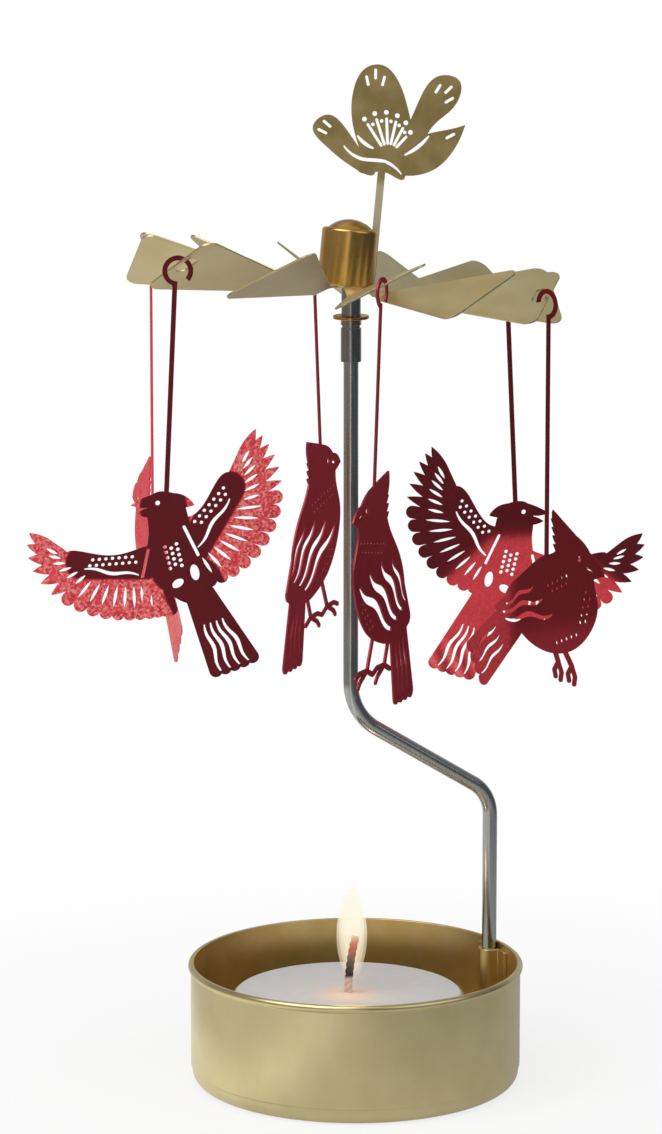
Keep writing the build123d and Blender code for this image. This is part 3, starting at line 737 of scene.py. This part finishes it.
def bone(u, v, start, end):
    """Distance of a point of the bird's plane from a straight bone between two points."""
    run = Vector(end) - Vector(start)
    share = ((u - start[0]) * run.x + (v - start[1]) * run.y) / run.length_squared
    share = share.larger(0.0).smaller(1.0)
    across = u - start[0] - share * run.x
    along = v - start[1] - share * run.y
    return (across * across + along * along) ** 0.5


print("bird coordinates are ready")

# %% [markdown]
# The lacquer itself is one function of two numbers. The sheen is painted light and shade: it picks a colour
# from a ramp, painted shade at 0 and a painted highlight at 1, and makes the bright parts less metallic, so
# that they keep their colour in any light. The glitter breaks the sheen into small cells, each with its own
# brightness, as metal flakes do.

# %% Lacquer
maroon = srgb(130, 50, 56)
crimson = srgb(168, 72, 84)
rose_red = srgb(186, 82, 96)
deep_red = srgb(158, 50, 58)
bright_red = srgb(244, 84, 92)
highlight_pink = srgb(255, 160, 156)
edge_red = (0.42, 0.09, 0.11)
flake_size = 0.34
fine_size = 0.25
patch_size = 4.0
flake_depth = 0.006
patch_share, fine_share = 0.18, 0.12
sheen_share, flash_share = 0.75, 0.62
dark_metal, metal_loss = 0.78, 0.7
loss_starts, loss_full = 0.15, 0.9
lacquer_roughness = 0.44
fine_wear, flash_shine = 0.12, 0.2


def lacquer(sheen, glitter, dark=maroon):
    """Metallic red: painted shade at sheen 0 and a painted highlight at sheen 1, broken into sparkling cells
    where it glitters.
    """
    finish = sheen.finish
    flakes = finish.cells(flake_size)
    fine = finish.noise(fine_size)
    patches = finish.noise(patch_size)
    shade = sheen + (patches - 0.5) * patch_share + (fine - 0.5) * fine_share
    flash = (flakes - 0.5) * glitter
    stops = ((0.0, dark), (0.42, deep_red), (0.78, bright_red), (1.0, highlight_pink))
    level = shade * sheen_share + flash * flash_share
    finish.set(
        Base_Color=finish.node("ShaderNodeValToRGB", {"stops": stops}, {0: level}),
        Metallic=dark_metal - sheen.rise(loss_starts, loss_full) * metal_loss,
        Roughness=lacquer_roughness + (fine - 0.5) * fine_wear - flash * flash_shine,
        Specular_IOR_Level=0.1,
        Specular_Tint=edge_red,
        Normal=finish.bump(fine + flakes * glitter, flake_depth))
    return finish


print("lacquer from", [round(x, 3) for x in maroon], "to", [round(x, 3) for x in highlight_pink])

# %% [markdown]
# Each pair of birds shares a drawing, with its own length of hanger and the small turn at which it hangs
# plumb. A flying bird's bones are straight lines with a reach, both in millimetres of its drawing. The two
# birds of a pair face the light differently, so each gets its own painted light and shade.

# %% Flying birds
flying_hang, flying_turn = 34.95, 2.657
flying_bones = (
    ((0.8, 60.0), (0.8, -2.0), 3.4),
    ((0.8, -2.0), (-1.4, -12.0), 3.6),
    ((-4.4, -14.5), (-12.0, -29.0), 4.7),
    ((3.0, -11.0), (13.2, -11.2), 2.5),
    ((-4.2, -8.6), (-9.4, 1.2), 2.5),
)


def feather_sheen(u, v):
    """Painted sheen: 0 on body, tail and wing roots, and 1 on the feathers beyond them."""
    nearest = None
    for start, end, reach in flying_bones:
        gap = bone(u, v, start, end) - reach
        nearest = gap if nearest is None else nearest.smaller(gap)
    return nearest.rise(-0.25, 0.35)


def left_flying_lacquer():
    """Painted shade on the body, and a painted sheen on feathers that glitter."""
    finish = new_finish("lacquer of the left flying bird")
    feathers = feather_sheen(*bird_axes(finish, "flying_bird_left", flying_hang, flying_turn))
    return lacquer(sheen=feathers * 0.95 + 0.12, glitter=feathers * 0.9 + 0.04)


def right_flying_lacquer():
    """Painted shade above, a painted sheen on the breast and the tail, which is striped."""
    finish = new_finish("lacquer of the right flying bird")
    u, v = bird_axes(finish, "flying_bird_right", flying_hang, flying_turn)
    left_wing = (u + 4.0).smaller(0.0) * 0.8
    right_wing = (u - 7.0).larger(0.0) * 0.9
    breast = (v - left_wing + right_wing).rise(-2.8, -7.0)
    stripes = (u * 1.9 + v * 0.7).wave() * v.rise(-20.0, -24.0) * 0.22
    return lacquer(sheen=breast * 0.86 + 0.08 - stripes, glitter=0.16 * breast + 0.05)


print("a flying bird has", len(flying_bones), "bones")

# %% Perched and hopping birds
perched_hang, perched_turn = 29.3, 5.488
hopping_hang, hopping_turn = 39.7, 0.014


def perched_lacquer(node, sheen, dark):
    """A little painted sheen towards the tail and painted shade in the crest."""
    finish = new_finish("lacquer of " + node)
    v = bird_axes(finish, node, perched_hang, perched_turn)[1]
    tail = v.rise(-22.0, -34.0)
    crest = v.rise(-6.0, 2.0)
    return lacquer(sheen=tail * 0.10 + sheen - crest * 0.12, glitter=0.16 - tail * 0.06, dark=dark)


def hopping_lacquer(node, sheen, lift):
    """A painted sheen, brighter by a lift on the belly and the tail."""
    finish = new_finish("lacquer of " + node)
    u, v = bird_axes(finish, node, hopping_hang, hopping_turn)
    belly = (v - u * 0.25).rise(-9.0, -14.5)
    tail = u.rise(-5.0, -9.0)
    return lacquer(sheen=belly.larger(tail * 1.5) * lift + sheen, glitter=0.12 + belly * 0.10)


bird_edge = 0.05
# Each bird's base sheen and dark colour are painted light: the back perched bird and the left hopping bird
# are painted brighter than their twins.
bird_lacquers = {
    "flying_bird_left": left_flying_lacquer(),
    "flying_bird_right": right_flying_lacquer(),
    "perched_bird_front": perched_lacquer("perched_bird_front", 0.12, crimson),
    "perched_bird_back": perched_lacquer("perched_bird_back", 0.16, rose_red),
    "hopping_bird_right": hopping_lacquer("hopping_bird_right", 0.08, 0.42),
    "hopping_bird_left": hopping_lacquer("hopping_bird_left", 1.04, 0.1),
}
for node, finish in bird_lacquers.items():
    paint(rounded_copy(node, bird_edge), finish)
print("birds:", list(bird_lacquers))

# %% [markdown]
# ## The tealight
# The wax has melted round the wick and set again many times, so its top is a shallow dish with a soft edge.
# Spinning one profile round the tealight's axis makes it: a flat disc would look like plastic. Wax lets light
# in and scatters it, which is what subsurface does.

# %% Wax
wax_low, wax_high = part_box("wax")
tealight_x = (wax_low.x + wax_high.x) / 2
wax_radius = (wax_high.x - wax_low.x) / 2
wax_top = wax_high.z
wick_radius = 0.7 * mm
dish_depth = 0.35 * mm
dish_steps = 24
edge_round = 0.55 * mm
edge_steps = 6
pool_radius = 13.0 * mm
wax_smooth = 50


def wax_profile():
    """From the floor's middle, out and up the side, over the rounded edge and down into the dish."""
    points = [(0, wax_low.z), (wax_radius, wax_low.z)]
    points += arc((wax_radius - edge_round, wax_top - edge_round), edge_round, 0, 90, edge_steps)
    for i in range(1, dish_steps + 1):
        radius = (wax_radius - edge_round) * (1 - i / dish_steps)
        pool = max(0.0, 1 - (radius / pool_radius) ** 2) ** 2
        climb = math.exp(-max(0.0, radius - wick_radius) / wick_radius)
        points.append((radius, wax_top - dish_depth * (pool - climb)))
    return points


wax_piece = link("wax_dish", mesh_from(lathe(wax_profile(), tealight_x, 0), "wax_dish", wax_smooth))
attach(wax_piece, "tealight")
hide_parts("wax")
print("wax radius", round(wax_radius / mm, 2), "mm, top at", round(wax_top / mm, 2), "mm")

# %% White wax
wax_dull = srgb(198, 200, 203)
wax_pale = srgb(211, 212, 214)
painted_wax_glow = srgb(236, 212, 194)
warm_starts, warm_full = 7.0, 0.5
wet_fade = 5
ripple_size = 3.0
ripple_depth = 0.04

wax = new_finish("white wax")
from_wick = wax.radius(tealight_x / mm, 0)
wet = from_wick.rise(pool_radius / mm, pool_radius / mm - wet_fade)
warm = from_wick.rise(warm_starts, warm_full)
ripples = wax.noise(ripple_size, detail=2.0)
wax.set(
    # Near the wick the wax is painted a warm glow of the flame's light.
    Base_Color=wax.mix(warm, wax.mix(ripples, wax_dull, wax_pale), painted_wax_glow),
    Roughness=0.46 - wet * 0.10 + (ripples - 0.5) * 0.1,
    Normal=wax.bump(ripples, ripple_depth),
    Subsurface_Weight=0.35,
    Subsurface_Radius=(1.0, 0.7, 0.5),
    Subsurface_Scale=0.002)
paint(wax_piece, wax)
print("white wax, warm within", warm_starts, "mm of the wick")

# %% [markdown]
# The tealight's own cup and the foot of its wick are pressed from rolled aluminium. Most of it hides in the
# brass cup, but it shows when the tealight is lifted out.

# %% Tealight cup and wick foot
tin_edge = 0.08
roll_size = 0.3
roll_depth = 0.004

tin = new_finish("tealight aluminium")
rolled = tin.noise(roll_size, (1, 1, 8), detail=2.0)
tin.set(
    Metallic=1.0,
    Base_Color=tin.mix(rolled, srgb(205, 205, 207), srgb(228, 228, 230)),
    Roughness=0.24 + rolled * 0.12,
    Normal=tin.bump(rolled, roll_depth))
for node in ("tealight_cup", "wick_sustainer"):
    paint(rounded_copy(node, tin_edge), tin)
    print(node, "is dressed in", tin.owner.name)

# %% [markdown]
# A wick is a braid of cotton. Three strands that wind round one bent line show that better than a plain rod.
# A curve with a round bevel is the simplest strand, and once all three are made they become one mesh. Its
# foot is still pale with wax, its middle is black with soot and its end glows.

# %% Wick
wick_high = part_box("wick")[1]
wick_turns = 3.2
wick_strands = 3
wick_points = 60
wick_lean = wick_high.x - tealight_x - wick_radius
wick_bend = 2.2
wick_start = wax_top - 1.5 * mm
wick_end = wick_high.z - 0.4 * mm
strand_radius = 0.38 * mm


def wick_line(share):
    """The bent middle line of the wick, from the wax up."""
    x = tealight_x + wick_lean * share ** wick_bend
    return Vector((x, 0, wick_start + (wick_end - wick_start) * share))


curve = bpy.data.curves.new("wick strands", "CURVE")
curve.dimensions = "3D"
curve.bevel_depth = strand_radius
curve.bevel_resolution = 3
curve.use_fill_caps = True
for strand in range(wick_strands):
    spline = curve.splines.new("POLY")
    spline.points.add(wick_points - 1)
    for i, point in enumerate(spline.points):
        share = i / (wick_points - 1)
        turn = 2 * math.pi * (wick_turns * share + strand / wick_strands)
        around = Vector((math.cos(turn), math.sin(turn), 0)) * (wick_radius - strand_radius)
        point.co = (*(wick_line(share) + around), 1)
strands = link("wick_strands", curve)
depsgraph = bpy.context.evaluated_depsgraph_get()
wick_mesh = bpy.data.meshes.new_from_object(strands.evaluated_get(depsgraph))
bpy.data.objects.remove(strands)
wick_piece = link("wick_braid", wick_mesh)
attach(wick_piece, "tealight")
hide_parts("wick")
print("wick strands:", wick_strands, "turns:", wick_turns)

# %% Burning wick
soot_black = srgb(10, 7, 7)
soot_brown = srgb(40, 28, 25)
waxed_cotton = srgb(226, 200, 182)
ember_red = srgb(206, 70, 30)
ember_starts, ember_full = 4.6, 8.6
waxed_full, waxed_ends = 2.2, 3.0
fibre_size = 0.12
fibre_depth = 0.05

char = new_finish("burning wick")
height = char.along((0, 0, 1), (0, 0, wax_top / mm))
ember = height.rise(ember_starts, ember_full)
waxed = height.rise(waxed_ends, waxed_full)
fibre = char.noise(fibre_size, (1, 1, 3))
soot = char.mix(fibre, soot_black, soot_brown)
char.set(
    Base_Color=char.mix(waxed, soot, waxed_cotton),
    Roughness=0.85,
    Normal=char.bump(fibre, fibre_depth),
    Emission_Color=char.mix(ember * (0.5 + fibre * 0.5), grey(0), ember_red),
    Emission_Strength=1.0)
paint(wick_piece, char)
print("the wick is waxed up to", waxed_ends, "mm and glows from", ember_starts, "mm above the wax")

# %% [markdown]
# ## The flame
# A flame is glowing gas, so it has no solid of its own. Four thin drops, one inside the other, stand for it:
# each gives off light and lets most of what lies behind it through, so that the flame is full in its middle
# and soft at its edge. They are nearly clear in front of the wick.

# %% Flame
flame_height = 16.8 * mm
flame_radius = 2.5 * mm
flame_foot = wax_top + 2.0 * mm
flame_x = tealight_x + wick_lean * 0.5
flame_shells = 4
shell_step = 0.17
flame_points = 40
flame_steps = 48
flame_smooth = 80


def flame_profile(size):
    """A drop: round below and drawn out to a point above. A smaller one lies inside a larger one."""
    points = []
    for i in range(flame_points + 1):
        share = i / flame_points
        swell = math.sin(math.pi * share ** 0.85) ** 0.7 if 0 < i < flame_points else 0
        height = flame_height * (0.5 + (share - 0.5) * (0.4 + 0.6 * size))
        points.append((flame_radius * swell * size, flame_foot + height))
    return points


flame_bm = bmesh.new()
for shell in range(flame_shells):
    spun = lathe(flame_profile(1 - shell * shell_step), flame_x, 0, flame_steps)
    shell_mesh = mesh_from(spun, "flame_shell")
    flame_bm.from_mesh(shell_mesh)
    bpy.data.meshes.remove(shell_mesh)
flame_piece = link("candle_flame", mesh_from(flame_bm, "candle_flame", flame_smooth))
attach(flame_piece, "tealight")
print("flame from", round(flame_foot / mm, 1), "to", round((flame_foot + flame_height) / mm, 1), "mm")

# %% Glowing gas
flame_stops = (
    (0.0, srgb(250, 220, 190)), (0.25, srgb(255, 236, 200)), (0.5, srgb(255, 248, 222)),
    (1.0, srgb(255, 252, 236)))
flame_cover = 0.42
thin_tip = 0.22
thin_foot = 0.18
veil_clear = 0.92

flame = new_finish("flame")
rise = flame.along((0, 0, mm / flame_height), (0, 0, flame_foot / mm))
veil = rise.rise(0.62, 0.36) * flame.along((0, 1, 0)).rise(0.5, -0.3)
cover = flame_cover - rise.rise(0.7, 1.0) * thin_tip - rise.rise(0.2, 0.0) * thin_foot
flame.set(
    Base_Color=grey(0.0),
    Roughness=1.0,
    Specular_IOR_Level=0.0,
    Emission_Color=flame.node("ShaderNodeValToRGB", {"stops": flame_stops}, {0: rise}),
    Emission_Strength=1.0,
    Alpha=cover * (1 - veil * veil_clear))
paint(flame_piece, flame)
print("flame of", flame_shells, "shells")

# %% [markdown]
# The shells glow but are too thin to light the wax, so a small warm lamp in the flame does that. It is weak:
# in a bright studio, a candle's own light shows only close to the wick.

# %% Candle glow
glow_watts = 0.004
glow_colour = (1.0, 0.62, 0.26)
glow_share = 0.6

glow_data = bpy.data.lights.new("candle glow", "POINT")
glow_data.energy = glow_watts
glow_data.color = glow_colour
glow_data.shadow_soft_size = flame_radius
glow_lamp = link("candle glow", glow_data)
glow_lamp.location = (flame_x, 0, flame_foot + flame_height * glow_share)
print("candle glow at", [round(x, 4) for x in glow_lamp.location])
